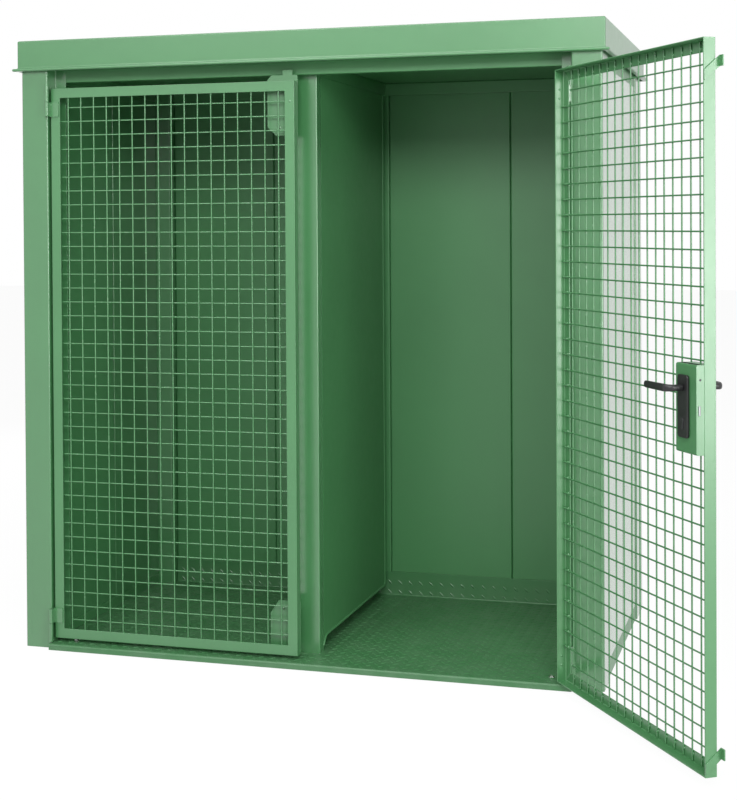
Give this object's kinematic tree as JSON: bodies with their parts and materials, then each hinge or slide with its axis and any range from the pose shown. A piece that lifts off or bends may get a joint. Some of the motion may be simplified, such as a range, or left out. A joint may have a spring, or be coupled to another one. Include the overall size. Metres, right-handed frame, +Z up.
{
  "type": "gas cylinder container",
  "caption": "Tall sheet-steel storage cabinet for gas cylinders, with side-by-side bays behind wire-mesh double doors and a tread-plate floor.",
  "frame": {"origin": "on the ground at the centre of the posts' footprint, on the underside of the middle floor bearer", "axes": "+X to the right seen from the front, +Y from the doors to the back wall, +Z up"},
  "size_m": [2.5466, 2.0234, 2.197],
  "materials": {
    "paint": "satin green paint",
    "handle_plastic": "black moulded plastic",
    "zinc_steel": "zinc-plated"
  },
  "bodies": {
    "cabinet": {"floor_tray": "paint", "floor_bearers": "paint", "front_post_right": "paint", "front_post_left": "paint", "rear_post_right": "paint", "rear_post_left": "paint", "centre_post": "paint", "partition": "paint", "front_lintel": "paint", "rear_rail_top": "paint", "rear_rail_base": "paint", "side_rail_top_right": "paint", "side_rail_top_left": "paint", "side_rail_base_right": "paint", "side_rail_base_left": "paint", "partition_rail": "paint", "back_panel_1": "paint", "back_panel_2": "paint", "back_panel_3": "paint", "back_panel_4": "paint", "side_panels_right": "paint", "side_panels_left": "paint", "roof_pan": "paint", "roof_ceiling": "paint", "post_knuckles": "paint"},
    "left_door": {"left_leaf_hinge_stile": "paint", "left_leaf_free_stile": "paint", "left_leaf_rails": "paint", "left_leaf_mesh_upper": "paint", "left_leaf_mesh_lower": "paint", "left_leaf_knuckles": "paint", "left_leaf_stop_plates": "paint"},
    "right_door": {"right_leaf_hinge_stile": "paint", "right_leaf_free_stile": "paint", "right_leaf_rails": "paint", "right_leaf_mesh_upper": "paint", "right_leaf_mesh_lower": "paint", "right_leaf_knuckles": "paint", "right_leaf_hooks": "paint", "lock_case": "paint", "lock_plates": "handle_plastic"},
    "latch": {"latch_bolt": "zinc_steel"},
    "lever": {"lever_handle": "handle_plastic"}
  },
  "joints": [
    {"name": "left_door_hinge", "type": "hinge", "parent": "cabinet", "child": "left_door", "pos_m": [-0.942, -0.592, 0], "axis": [0, 0, -1], "range_deg": [0, 170]},
    {"name": "right_door_hinge", "type": "hinge", "parent": "cabinet", "child": "right_door", "pos_m": [0.942, -0.592, 0], "axis": [0, 0, 1], "range_deg": [-124, 46]},
    {"name": "lever_turn", "type": "hinge", "parent": "right_door", "child": "lever", "pos_m": [1.39871, -1.34421, 1.082], "axis": [-0.829, -0.5592, 0], "range_deg": [0, 40], "stiffness_Nm_per_rad": 2, "springref_deg": -20.05},
    {"name": "latch_slide", "type": "slide", "parent": "right_door", "child": "latch", "axis": [-0.5592, 0.829, 0], "range_m": [0, 0.0084]}
  ],
  "couplings": [
    {"joint": "latch_slide", "follows": "lever_turn", "m_per_rad": 0.012}
  ]
}
